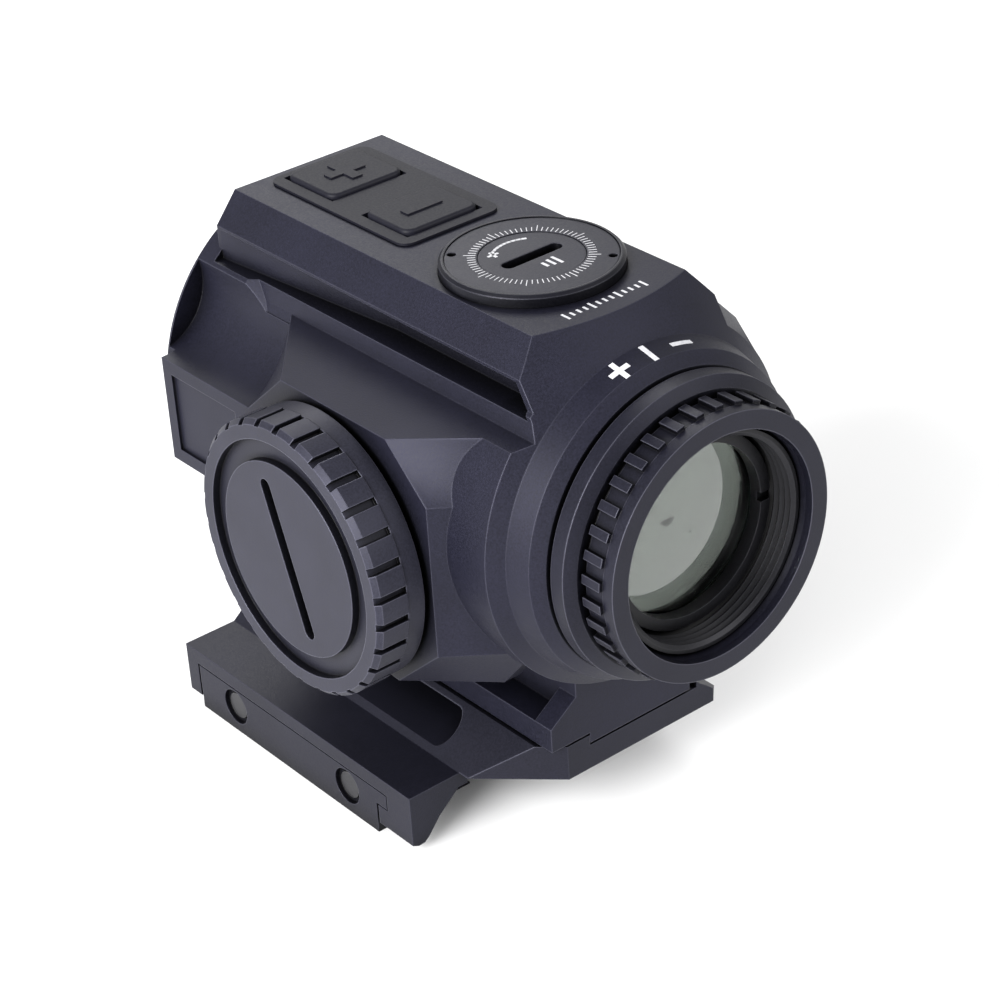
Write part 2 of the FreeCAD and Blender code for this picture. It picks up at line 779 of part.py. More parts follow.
def lens(label, frame, radius, face, back, bulge):
    """A lens with one domed face: the dome's top is at face, its flat side at back."""
    body = new_body(label, frame)
    sketch = plane_sketch(body, "Z", "0", label)
    reach, front, rear, sag = (number(text) for text in (radius, face, back, bulge))
    edge = front + sag
    low, high, corner = Vector(0, rear, 0), Vector(reach, rear, 0), Vector(reach, edge, 0)
    bend = (reach ** 2 + sag ** 2) / (2 * sag)
    centre = Vector(0, front + bend, 0)
    angles = sorted((math.atan2(edge - centre.y, reach), math.copysign(math.pi / 2, -bend)))
    circle = Part.Circle(centre, Vector(0, 0, 1), abs(bend))
    at_corner, at_top = (2, 1) if bend > 0 else (1, 2)
    sketch.addGeometry(Part.LineSegment(low, high), False)
    sketch.addGeometry(Part.LineSegment(high, corner), False)
    sketch.addGeometry(Part.ArcOfCircle(circle, *angles), False)
    sketch.addGeometry(Part.LineSegment(Vector(0, front, 0), low), False)
    for one, its_end, other, other_end in (
        (0, 2, 1, 1), (1, 2, 2, at_corner), (2, at_top, 3, 1), (3, 2, 0, 1),
    ):
        sketch.addConstraint(Sketcher.Constraint("Coincident", one, its_end, other, other_end))
    place_point(sketch, 0, 1, "0", back)
    place_point(sketch, 0, 2, radius, back)
    place_point(sketch, 1, 2, radius, f"{face} + ({bulge})")
    place_point(sketch, 3, 1, "0", face)
    sketch.addConstraint(Sketcher.Constraint("PointOnObject", 2, 3, -2))
    feature = body.newObject("PartDesign::Revolution", label + "_dome")
    feature.Profile = sketch
    feature.ReferenceAxis = (sketch, ["V_Axis"])
    feature.Angle = 360
    check_step(body, 0.0, True)


def torus(label, frame, radius, section, along, turn=None, away="0"):
    """An o-ring round the frame's Z axis (after the turn), away from its origin along it."""
    ring = doc.addObject("Part::Torus", label)
    bind(ring, "Radius1", radius)
    bind(ring, "Radius2", section)
    places = list(frame)
    places[along] = f"{places[along]} + ({away})"
    return stand(ring, label, places, turn)


def build_objective():
    cell = new_body("objective_cell", SIGHT)
    turned(cell, "cell_tube", "Y", [
        ("objective_seat", "objective_bore_y + fit"),
        ("objective_bore - fit", "objective_bore_y + fit"),
        ("objective_bore - fit", "objective_cell_end_y"),
        ("objective_cell_inner", "objective_cell_end_y"),
        ("objective_cell_inner", "objective_seat_y"), ("objective_seat", "objective_seat_y")])
    lens("objective_lens", SIGHT, "objective_radius", "objective_edge_y + objective_bulge",
         "objective_seat_y + fit", "-objective_bulge")
    retainer = new_body("objective_retainer", SIGHT)
    turned(retainer, "retainer_ring", "Y", [
        ("objective_retainer_inner", "objective_retainer_y"),
        ("objective_cell_inner - fit", "objective_retainer_y"),
        ("objective_cell_inner - fit", "objective_retainer_end_y"),
        ("objective_retainer_inner + 0.6", "objective_retainer_end_y")])
    spanner_slots(retainer, "objective_retainer_end_y - 0.8", "objective_retainer_end_y + 1",
                  "objective_cell_inner")


def spanner_slots(body, start, end, reach):
    """Two slots across a retaining ring for a pin or blade spanner."""
    slab(body, "spanner_slots", "Y", start, end, [box_outline(
        f"-({reach})", "-spanner_slot / 2", reach, "spanner_slot / 2")], cut=True)


def build_eyepiece():
    ring = new_body("diopter_ring", SIGHT)
    turned(ring, "ring", "Y", [
        ("lip_hole", "0"), ("lip_radius", "0"), ("lip_radius", "lip_width"),
        ("knurl_radius", "lip_width"), ("knurl_radius", "knurl_end_y"),
        ("neck_radius", "knurl_end_y"), ("neck_radius", "flange_y"),
        ("flange_nose", "flange_y"), ("flange_radius", "flange_edge_y"),
        ("flange_radius", "flange_back_y"), ("sleeve_radius", "flange_back_y"),
        ("sleeve_radius", "sleeve_end_y"), ("ring_bore", "sleeve_end_y"),
        ("ring_bore", "ring_bore_y"), ("lip_hole", "lip_hole_end_y")])
    turned(ring, "oring_seat", "Y", [
        ("sleeve_radius - oring_groove_depth", "oring_groove_y"),
        ("sleeve_radius + 1", "oring_groove_y"),
        ("sleeve_radius + 1", "oring_groove_y + oring_groove_width"),
        ("sleeve_radius - oring_groove_depth", "oring_groove_y + oring_groove_width")], cut=True)
    cut = slab(ring, "knurl_cut", "Y", "lip_width", "knurl_end_y", [box_outline(
        "-knurl_width / 2", "knurl_radius - knurl_depth",
        "knurl_width / 2", "knurl_radius + 1")], cut=True)
    repeated(ring, "knurl", cut, "Y", "knurl_count")
    torus("eyepiece_o_ring", SIGHT, "sleeve_radius - oring_groove_depth + oring_section + 0.02",
          "oring_section", 1, Rotation(Vector(1, 0, 0), -90),
          "oring_groove_y + oring_groove_width / 2")


def build_ocular():
    cell = new_body("ocular_cell", SIGHT)
    corners = [
        ("ocular_stop", "ocular_back_y"), ("ring_bore - fit", "ocular_back_y"),
        ("ring_bore - fit", "ocular_front_y"), ("ocular_mouth", "ocular_front_y")]
    turns = int(number("(ocular_thread_end_y - ocular_mouth_end_y) / thread_pitch"))
    for turn in range(turns):
        start = f"ocular_mouth_end_y + {turn} * thread_pitch"
        corners += [("ocular_thread", start),
                    ("ocular_thread + thread_depth", f"{start} + thread_pitch / 2")]
    corners += [
        ("ocular_thread", f"ocular_mouth_end_y + {turns} * thread_pitch"),
        ("ocular_thread", "ocular_thread_end_y"), ("ocular_seat", "ocular_thread_end_y"),
        ("ocular_seat", "ocular_seat_end_y"), ("ocular_stop", "ocular_seat_end_y")]
    turned(cell, "cell_tube", "Y", corners)
    lens("ocular_front_lens", SIGHT, "ocular_lens_radius", "ocular_lens_face_y",
         "ocular_lens_back_y", "ocular_lens_bulge")
    rear = new_body("ocular_rear_lens", SIGHT)
    slab(rear, "lens_disc", "Y", "ocular_lens_back_y + lens_air", "ocular_rear_lens_back_y",
         circles=[("0", "0", "ocular_lens_radius")])
    retainer = new_body("ocular_retainer", SIGHT)
    slab(retainer, "retainer_ring", "Y", "ocular_retainer_front_y", "ocular_retainer_back_y",
         circles=[("0", "0", "ocular_retainer_radius"), ("0", "0", "ocular_retainer_inner")])
    spanner_slots(retainer, "ocular_retainer_front_y - 1", "ocular_retainer_front_y + 0.6",
                  "ocular_thread")


def build_prisms():
    low, high = "-prism_height", "prism_height"
    front = new_body("front_prism", SIGHT)
    slab(front, "prism", "X", "-prism_half", "prism_half", [[
        ("front_prism_y", low), ("split_low_y - prism_air", low),
        ("split_top_y - prism_air", high), ("front_prism_y", high)]])
    rear = new_body("rear_prism", SIGHT)
    slab(rear, "prism", "X", "-prism_half", "prism_half", [[
        ("split_low_y", low), ("rear_prism_end_y", low), ("rear_prism_end_y", high),
        ("split_top_y", high)]])
    inner, outer = "prism_half + fit", "prism_half + fit + holder_wall"
    floor, base = "-(prism_height + fit)", "-(prism_height + fit + holder_wall)"
    holder = new_body("prism_holder", SIGHT)
    slab(holder, "channel", "Y", "holder_front_y", "holder_back_y", [both_sides([
        (outer, base), (outer, "prism_height"), (inner, "prism_height"), (inner, floor)])])
    slab(holder, "pedestal", "Z", "cavity_low + fit", base, [box_outline(
        "-pedestal_half", "pedestal_front_y", "pedestal_half", "pedestal_back_y")])
    plate_top = "prism_height + fit + clamp_plate_thickness"
    plate = new_body("prism_clamp_plate", SIGHT)
    slab(plate, "plate", "Z", "prism_height + fit", plate_top, [box_outline(
        f"-({outer})", "clamp_plate_front_y", outer, "clamp_plate_back_y")])
    across = "prism_half + fit + holder_wall / 2"
    places = [(sign + "(" + across + ")", along) for sign in ("", "-") for along in (
        "clamp_plate_front_y + clamp_plate_screw_inset",
        "clamp_plate_back_y - clamp_plate_screw_inset")]
    holes = [(*place, "clamp_plate_screw + fit") for place in places]
    slab(plate, "screw_holes", "Z", "prism_height", f"{plate_top} + 1", circles=holes, cut=True)
    slab(holder, "screw_holes", "Z", "prism_height - clamp_plate_screw_length",
         "prism_height + 1", circles=holes, cut=True)
    for index, place in enumerate(places):
        screw = new_body(f"prism_screw_{index + 1}", SIGHT)
        slab(screw, "head", "Z", f"{plate_top} + 0.02", f"{plate_top} + 0.5",
             circles=[(*place, "clamp_plate_screw_head")])
        slab(screw, "shank", "Z", f"{plate_top} + 0.1 - clamp_plate_screw_length",
             f"{plate_top} + 0.02", circles=[(*place, "clamp_plate_screw")])


def build_reticle():
    carrier = new_body("reticle_carrier", SIGHT)
    slab(carrier, "carrier_plate", "Y", "carrier_front_y", "carrier_back_y", [box_outline(
        "-(cavity_half - fit)", "cavity_low + fit", "cavity_half - fit", "cavity_top - fit")],
        circles=[("0", "0", "reticle_radius + fit")])
    disc = new_body("reticle_disc", SIGHT)
    slab(disc, "disc", "Y", "carrier_front_y + fit", "carrier_front_y + reticle_thickness",
         circles=[("0", "0", "reticle_radius")])
    led = new_body("led_block", SIGHT)
    slab(led, "led", "Y", "carrier_back_y", "carrier_back_y + led_depth", [box_outline(
        "-led_width / 2", "led_low", "led_width / 2", "led_low + led_height")])


def key_outline(front, back, grow):
    return box_outline(f"-(key_half + {grow})", f"{front} - ({grow})",
                       f"key_half + {grow}", f"{back} + {grow}")


def sign_outline(name, middle):
    """A raised plus, or a minus that is the plus without its upright."""
    if name == "minus":
        return box_outline("-sign_reach", f"{middle} - sign_half", "sign_reach",
                           f"{middle} + sign_half")
    return both_sides([
        ("sign_half", f"{middle} - sign_reach"), ("sign_half", f"{middle} - sign_half"),
        ("sign_reach", f"{middle} - sign_half"), ("sign_reach", f"{middle} + sign_half"),
        ("sign_half", f"{middle} + sign_half"), ("sign_half", f"{middle} + sign_reach")])


def build_keypad():
    """A framed pad let into the deck, with two keys over dome switches on a small board."""
    keys = {"plus": ("plus_front_y", "plus_back_y"), "minus": ("minus_front_y", "minus_back_y")}
    lip = "key_low - key_flange_height - fit"
    pad = new_body("keypad_pad", KEYPAD)
    slab(pad, "core", "Z", "-board_sink", "fit", [pad_outline("pad_lip")])
    slab(pad, "rim", "Z", "fit", "pad_rise", [pad_outline("0")])
    rounded(pad, "rim_corners", "pad_corner", "fit", "pad_rise")
    slab(pad, "key_wells", "Z", "-(board_sink + 1)", f"-({lip})", cut=True, outlines=[
        key_outline(*span, "key_clearance + key_flange") for span in keys.values()])
    slab(pad, "key_openings", "Z", f"-({lip} + 0.1)", "pad_rise + 1", cut=True, outlines=[
        key_outline(*span, "key_clearance") for span in keys.values()])
    board = new_body("key_board", KEYPAD)
    slab(board, "board", "Z", "-(board_sink + board_thickness)", "-board_sink",
         [pad_outline("pad_lip")])
    for name, (front, back) in keys.items():
        key = new_body(f"{name}_key", KEYPAD)
        top = "pad_rise + key_proud"
        slab(key, "cap", "Z", "-key_low", top, [key_outline(front, back, "0")])
        rounded(key, "cap_corners", "key_corner", "-key_low", top)
        rounded(key, "cap_edge", "key_edge", top, top)
        slab(key, "flange", "Z", "-key_low", "key_flange_height - key_low",
             [key_outline(front, back, "key_flange")])
        slab(key, "sign", "Z", top, f"{top} + sign_height",
             [sign_outline(name, f"({front} + {back}) / 2")])
        dome = new_body(f"{name}_dome", KEYPAD)
        slab(dome, "dome", "Z", "-board_sink", "dome_height - board_sink",
             circles=[("0", f"({front} + {back}) / 2", "dome_radius")])


def build_turret(name, frame, turn, inside):
    """A coin-slot adjuster: fixed bezel and scale ring, turning rotor and the plunger it drives."""
    bezel = new_body(f"{name}_bezel", frame, turn)
    turned(bezel, "bezel_ring", "Z", [
        ("bezel_bore", "-bezel_seat"), ("bezel_radius", "-bezel_seat"),
        ("bezel_radius", "bezel_rise - bezel_chamfer"),
        ("bezel_radius - bezel_chamfer", "bezel_rise"), ("bezel_bore", "bezel_rise")])
    top, low = "bezel_rise - dial_sink", "bezel_rise - dial_sink - dial_thickness"
    dial = new_body(f"{name}_dial", frame, turn)
    turned(dial, "scale_ring", "Z", [
        ("dial_bore", top), ("dial_radius", top), ("dial_radius", low), ("dial_hub", low),
        ("dial_hub", f"{low} - dial_hub_depth"), ("dial_bore", f"{low} - dial_hub_depth")])
    slab(dial, "spanner_notches", "Z", f"{top} - 0.7", f"{top} + 1", cut=True, circles=[
        ("-notch_reach * 0.682", "notch_reach * 0.731", "notch_radius"),
        ("notch_reach * 0.682", "-notch_reach * 0.731", "notch_radius")])
    top = "bezel_rise - rotor_sink"
    rotor = new_body(f"{name}_rotor", frame, turn)
    turned(rotor, "rotor_knob", "Z", [
        ("0", top), ("rotor_radius", top), ("rotor_radius", "-rotor_flange_top"),
        ("rotor_flange", "-rotor_flange_top"), ("rotor_flange", "-rotor_flange_low"),
        ("rotor_stem", "-rotor_flange_low"), ("rotor_stem", "-rotor_stem_low"),
        ("plunger_hole", "-rotor_stem_low"), ("plunger_hole", "-rotor_hollow_top"),
        ("0", "-rotor_hollow_top")])
    slab(rotor, "coin_slot", "Z", f"{top} - coin_slot_depth", f"{top} + 1",
         slots=[("0", "0", "coin_slot_length", "coin_slot_width")], cut=True)
    plunger = new_body(f"{name}_plunger", frame, turn)
    slab(plunger, "pin", "Z", inside, "-plunger_top", circles=[("0", "0", "plunger_radius")])


def build_turrets():
    plate_top = "prism_height + fit + clamp_plate_thickness"
    build_turret("elevation", ELEVATION, None, f"{plate_top} + plunger_reach - deck_top")
    torus("elevation_o_ring", ELEVATION, "(rotor_flange + turret_well) / 2",
          "rotor_oring_section", 2, None, "-(rotor_flange_top + rotor_flange_low) / 2")
    turn = Rotation(Vector(0, 1, 0), 90)
    side = "prism_half + fit + holder_wall"
    build_turret("windage", WINDAGE, turn, f"{side} + plunger_reach - right_boss_x")
    torus("windage_o_ring", WINDAGE, "(rotor_flange + turret_well) / 2",
          "rotor_oring_section", 0, turn, "-(rotor_flange_top + rotor_flange_low) / 2")


def build_battery():
    """The coin cell, its contacts, the threaded neck round it and the knurled cap."""
    floor = "boss_x - well_depth"
    plate = new_body("contact_plate", CAP)
    slab(plate, "plate", "X", f"-({floor} + contact_thickness)", f"-({floor})",
         circles=[("0", "0", "contact_radius")])
    rest = f"-({floor} + contact_thickness)"
    spring = new_body("contact_spring", CAP)
    turned(spring, "dished_ring", "X", [
        ("spring_rim", rest), ("spring_waist", rest), ("spring_tip", f"{rest} - spring_depth"),
        ("spring_tip", f"{rest} - spring_depth - spring_thickness"),
        ("spring_waist", f"{rest} - spring_thickness"),
        ("spring_rim", f"{rest} - spring_thickness")])
    near = f"{rest} - spring_depth - spring_thickness - cell_gap"
    cell = new_body("coin_cell", CAP)
    slab(cell, "cell", "X", f"{near} - cell_thickness", near,
         circles=[("0", "0", "cell_radius")])
    neck = new_body("battery_neck", CAP)
    slab(neck, "neck_tube", "X", "-(boss_x + neck_reach)", "-boss_x",
         circles=[("0", "0", "neck_outer"), ("0", "0", "well_radius")])
    torus("cap_o_ring", CAP, "neck_outer + fit + cap_oring_section", "cap_oring_section", 0,
          Rotation(Vector(0, 1, 0), 90), "-(boss_x + cap_back) / 2")


def build_cap():
    cap = new_body("battery_cap", CAP)
    bottom = "-(cap_back + cap_bore_depth)"
    turned(cap, "cap_cup", "X", [
        ("cap_bore", "-cap_back"), ("cap_flange_radius", "-cap_back"),
        ("cap_flange_radius", "-cap_knurl_back"), ("cap_radius", "-cap_knurl_back"),
        ("cap_radius", "-(cap_face - cap_edge)"), ("cap_radius - cap_edge", "-cap_face"),
        ("cap_channel_radius", "-cap_face"),
        ("cap_channel_radius", "-(cap_face - cap_channel_depth)"),
        ("cap_disc_radius", "-(cap_face - cap_channel_depth)"), ("cap_disc_radius", "-cap_face"),
        ("0", "-cap_face"), ("0", f"{bottom} + cap_boss"),
        ("cap_boss_radius", f"{bottom} + cap_boss"), ("cap_boss_radius", bottom),
        ("cap_bore", bottom)])
    cut = slab(cap, "knurl_cut", "X", "-(cap_face + 1)", "-cap_knurl_back", [box_outline(
        "-cap_knurl_width / 2", "cap_radius - cap_knurl_depth",
        "cap_knurl_width / 2", "cap_radius + 1")], cut=True)
    repeated(cap, "knurl", cut, "X", "cap_knurl_count")
    slot = slab(cap, "coin_slot", "X", "-(cap_face + 1)", "-(cap_face - cap_slot_depth)",
                slots=[("0", "0", "cap_slot_length", "cap_slot_width")], cut=True)
    sketch = slot.Profile[0]
    base = sketch.AttachmentOffset.Base
    tilt = Rotation(Vector(0, 0, 1), 90 - number("cap_slot_tilt"))
    sketch.AttachmentOffset = Placement(base, tilt)
    sketch.setExpression("AttachmentOffset.Rotation.Angle", "90 - sizes.cap_slot_tilt")


def screw_places():
    """The two clamp screws stand two rail slots apart, each in a slot of its own."""
    return [(name, f"screw_middle {sign} screw_spacing / 2")
            for name, sign in (("front", "-"), ("rear", "+"))]


def build_riser():
    body = new_body("riser", RAIL)
    top = "axis_height + foot_low"
    reach, hook = "rail_half + rail_fit", "rail_half + rail_fit - rail_hook"
    slab(body, "base", "Y", "-jaw_front", "bar_half_length", [both_sides([
        ("base_half", "0"), ("base_half", "ledge_height"), ("foot_half", top)])])
    slab(body, "overhang", "Y", "-base_front", "-jaw_front", [both_sides([
        ("base_half", "ledge_height"), ("foot_half", top)])])
    slab(body, "front_corners", "Z", "-1", f"{top} + 1", cut=True, outlines=[
        [("-base_half", "corner_cut - base_front"), ("-(base_half - corner_cut)", "-base_front"),
         ("-(base_half - corner_cut)", "-(base_front + 1)"),
         ("-(base_half + 1)", "-(base_front + 1)"), ("-(base_half + 1)", "corner_cut - base_front")],
        [("base_half", "right_corner_cut - base_front"),
         ("base_half + 1", "right_corner_cut - base_front"), ("base_half + 1", "-(base_front + 1)"),
         ("base_half - right_corner_cut", "-(base_front + 1)"),
         ("base_half - right_corner_cut", "-base_front")]])
    slab(body, "fixed_claw", "Y", "-jaw_front", "bar_half_length", [[
        ("base_half", "1"), ("rail_top_half + rail_fit", "1"), ("rail_top_half + rail_fit", "0"),
        (reach, "-rail_slope"), (hook, "-(rail_slope + rail_hook)"), (hook, "-claw_low"),
        ("base_half - claw_chamfer", "-claw_low"), ("base_half", "claw_chamfer - claw_low")]])
    slab(body, "bar_roof_slab", "Y", "-bar_half_length", "bar_half_length", [box_outline(
        "-bar_outer", "bar_roof", "1 - base_half", "ledge_height")])
    for name, start, end in (
        ("front_end", "-bar_half_length", "-jaw_front"),
        ("rear_end", "jaw_back", "bar_half_length"),
    ):
        slab(body, name, "Y", start, end, [[
            ("-bar_outer", "ledge_height"), ("-bar_outer", "-end_low"),
            *[(f"-(base_half + {across})", up) for across, up in END_CURVE],
            ("1 - base_half", "ledge_height")]])
    slab(body, "finger_seat", "X", "-(bar_outer + 1)", "-(bar_outer - finger_reach)", cut=True,
         outlines=[box_outline("-(jaw_front + 1.6)", "-(finger_low + jaw_gap)",
                               "-jaw_front", "bar_roof")])
    riser_pockets(body, top)


def riser_pockets(body, top):
    """The window, the foot's seat, the reliefs round the rail's land and the screw holes."""
    slab(body, "window", "X", "-(base_half + 1)", "window_end", cut=True, slots=[
        ("(window_front + window_back) / 2", "window_low + window_height / 2",
         "(window_back - window_front)", "window_height")])
    slab(body, "toe_seat", "Z", f"{top} - toe_depth - fit", f"{top} + 1", [box_outline(
        "toe_left - fit", "foot_front_y - eyepiece_reach - 1", "foot_half + 1",
        "foot_front_y + toe_length + fit - eyepiece_reach")], cut=True)
    side, front = "seat_line_depth - foot_half", "seat_line_depth - base_front"
    slab(body, "seat_line", "Z", f"{top} - seat_line", f"{top} + 1", cut=True, outlines=[[
        ("-(foot_half + 1)", "-(base_front + 1)"), ("toe_left", "-(base_front + 1)"),
        ("toe_left", front), (side, front), (side, "bar_half_length + 1"),
        ("-(foot_half + 1)", "bar_half_length + 1")]])
    slab(body, "toe_line", "Z", f"{top} - toe_depth - seat_line", f"{top} - toe_depth", cut=True,
         outlines=[box_outline("toe_left - fit", "-(base_front + 1)", "foot_half + 1", front)])
    slab(body, "land_side", "Z", "-1", "land_relief", cut=True, outlines=[box_outline(
        "-(base_half + 1)", "-jaw_front", "-(rail_top_half + rail_fit)", "jaw_back")])
    slab(body, "land_ends", "Z", "-1", "land_relief", cut=True, outlines=[box_outline(
        "-(base_half + 1)", f"{place} - screw_relief", "rail_top_half + rail_fit",
        f"{place} + screw_relief") for _, place in screw_places()])
    slab(body, "clamp_screw_holes", "X", "-(bar_outer + 1)", "base_half + 1", cut=True, circles=[
        (place, "-screw_drop", "screw_radius + fit") for _, place in screw_places()])
    for name in ("front", "back"):
        place = f"foot_screw_{name}"
        slab(body, f"{name}_screw_hole", "Z", "-1", f"{top} + 1", cut=True,
             circles=[("0", place, "foot_screw_radius + fit")])
        slab(body, f"{name}_screw_seat", "Z", "-1", "foot_screw_sink + foot_screw_head_height",
             circles=[("0", place, "foot_screw_head + fit")], cut=True)


def build_clamp():
    """The sliding jaw and the two screws that draw it in, which also stop the sight on the rail."""
    jaw = new_body("clamp_jaw", RAIL)
    reach, hook = "rail_half + rail_fit", "rail_half + rail_fit - rail_hook"
    slab(jaw, "jaw_bar", "Y", "end_gap - jaw_front", "jaw_back - end_gap", [[
        ("-bar_outer", "-claw_low"), ("-bar_outer", "bar_roof - jaw_gap"),
        ("-(base_half + jaw_gap)", "bar_roof - jaw_gap"), ("-(base_half + jaw_gap)", "-jaw_gap"),
        ("-(rail_top_half + rail_fit + jaw_gap)", "-jaw_gap"),
        (f"-({reach})", "-rail_slope"), (f"-({hook})", "-(rail_slope + rail_hook)"),
        (f"-({hook})", "-claw_low")]])
    slab(jaw, "finger", "X", "-bar_outer", "-(bar_outer - finger_reach + jaw_gap)", [box_outline(
        "-(jaw_front + 1.45)", "-finger_low", "-(jaw_front - jaw_gap - 0.5)",
        "bar_roof - jaw_gap")])
    holes = [(place, "-screw_drop", "screw_radius + fit") for _, place in screw_places()]
    slab(jaw, "screw_holes", "X", "-(bar_outer + 1)", "-rail_top_half", circles=holes, cut=True)
    slab(jaw, "screw_end_recess", "X", "-(bar_outer + 1)", "screw_counterbore_depth - bar_outer",
         circles=[(*hole[:2], "screw_counterbore") for hole in holes], cut=True)
    for name, place in screw_places():
        screw = new_body(f"{name}_clamp_screw", RAIL)
        slab(screw, "shank", "X", "screw_tip_sink - bar_outer", "base_half + fit",
             circles=[(place, "-screw_drop", "screw_radius")])
        slab(screw, "head", "X", "base_half + fit", "base_half + fit + screw_head",
             circles=[(place, "-screw_drop", "screw_head_radius")])
        slab(screw, "socket", "X", "base_half + fit + screw_head - socket_depth",
             "base_half + fit + screw_head + 1", cut=True,
             circles=[(place, "-screw_drop", "socket_radius")])


def build_foot_screws():
    for name in ("front", "back"):
        screw = new_body(f"{name}_foot_screw", RAIL)
        place = f"foot_screw_{name}"
        top = "foot_screw_sink + foot_screw_head_height - fit"
        slab(screw, "head", "Z", "foot_screw_sink", top,
             circles=[("0", place, "foot_screw_head")])
        slab(screw, "shank", "Z", top, "axis_height + foot_low + foot_screw_bite",
             circles=[("0", place, "foot_screw_radius")])
        slab(screw, "socket", "Z", "foot_screw_sink - 1", "foot_screw_sink + socket_depth",
             circles=[("0", place, "socket_radius")], cut=True)


def check_and_write():
    doc.recompute()
    for thing in doc.Objects:
        if {"Invalid", "Error"} & set(thing.State):
            raise RuntimeError(f"{thing.Label} did not compute")
    os.makedirs("parts", exist_ok=True)
    for piece in nodes:
        shape = piece.Shape
        if shape.isNull() or not shape.isValid() or len(shape.Solids) != 1:
            raise RuntimeError(f"{piece.Label} is not one sound solid")
        shape.exportStep(f"parts/{piece.Label}.step")


fill_sheet()
build_housing()
build_objective()
build_eyepiece()
build_ocular()
build_prisms()
build_reticle()
build_keypad()
build_turrets()
build_battery()
build_cap()
build_riser()
build_clamp()
build_foot_screws()
check_and_write()
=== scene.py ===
import math

import bmesh
import bpy
from mathutils import Matrix, Vector


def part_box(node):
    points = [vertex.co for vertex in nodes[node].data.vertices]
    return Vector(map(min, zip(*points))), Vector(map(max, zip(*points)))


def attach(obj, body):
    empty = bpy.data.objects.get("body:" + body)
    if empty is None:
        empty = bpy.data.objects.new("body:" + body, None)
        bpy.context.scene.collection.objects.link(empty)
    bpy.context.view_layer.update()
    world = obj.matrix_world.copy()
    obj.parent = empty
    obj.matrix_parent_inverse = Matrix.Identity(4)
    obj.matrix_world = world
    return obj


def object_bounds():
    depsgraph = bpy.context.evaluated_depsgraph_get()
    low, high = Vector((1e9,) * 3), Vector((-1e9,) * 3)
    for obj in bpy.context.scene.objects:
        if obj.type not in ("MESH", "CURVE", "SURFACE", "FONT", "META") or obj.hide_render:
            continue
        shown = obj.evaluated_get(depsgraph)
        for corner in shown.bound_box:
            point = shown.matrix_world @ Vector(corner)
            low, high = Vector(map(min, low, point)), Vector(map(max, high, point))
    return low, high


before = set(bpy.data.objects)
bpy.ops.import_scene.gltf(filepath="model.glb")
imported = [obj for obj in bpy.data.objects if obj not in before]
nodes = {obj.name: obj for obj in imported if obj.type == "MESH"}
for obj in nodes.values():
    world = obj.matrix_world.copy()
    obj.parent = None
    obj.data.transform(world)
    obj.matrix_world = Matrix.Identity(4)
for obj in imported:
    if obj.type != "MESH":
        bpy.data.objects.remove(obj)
cad_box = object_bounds()

# Housing, riser and jaw.
# Machined aluminium, bead blasted and hard anodised dark blue-grey. The blasting leaves a fine
# speckle, the outer edges are lighter from wear and painted highlight, and narrow gaps are
# darkened with painted shade.

MM = 0.001


def link(tree, source, target):
    tree.links.new(source, target)


def new_group(name, inputs, outputs):
    """A shader node group with named sockets: name, kind and, for an input, its value."""
    group = bpy.data.node_groups.new(name, "ShaderNodeTree")
    for socket_name, kind, value in inputs:
        socket = group.interface.new_socket(socket_name, in_out="INPUT", socket_type=kind)
        socket.default_value = value
    for socket_name, kind in outputs:
        group.interface.new_socket(socket_name, in_out="OUTPUT", socket_type=kind)
    return group, group.nodes.new("NodeGroupInput"), group.nodes.new("NodeGroupOutput")


def math_node(tree, operation, first, second):
    node = tree.nodes.new("ShaderNodeMath")
    node.operation = operation
    for socket, value in zip(node.inputs, (first, second)):
        if isinstance(value, (int, float)):
            socket.default_value = value
        else:
            link(tree, value, socket)
    return node.outputs[0]


def span(tree, value, low, high, to_low, to_high):
    """Maps a value from one range to another and clamps it."""
    node = tree.nodes.new("ShaderNodeMapRange")
    link(tree, value, node.inputs["Value"])
    for name, number in (("From Min", low), ("From Max", high), ("To Min", to_low),
                         ("To Max", to_high)):
        node.inputs[name].default_value = number
    return node.outputs["Result"]


def object_noise(tree, scale):
    """Noise that is fixed to the object, at a scale per metre."""
    noise = tree.nodes.new("ShaderNodeTexNoise")
    noise.inputs["Scale"].default_value = scale
    place = tree.nodes.new("ShaderNodeTexCoord").outputs["Object"]
    link(tree, place, noise.inputs["Vector"])
    return noise.outputs["Fac"]


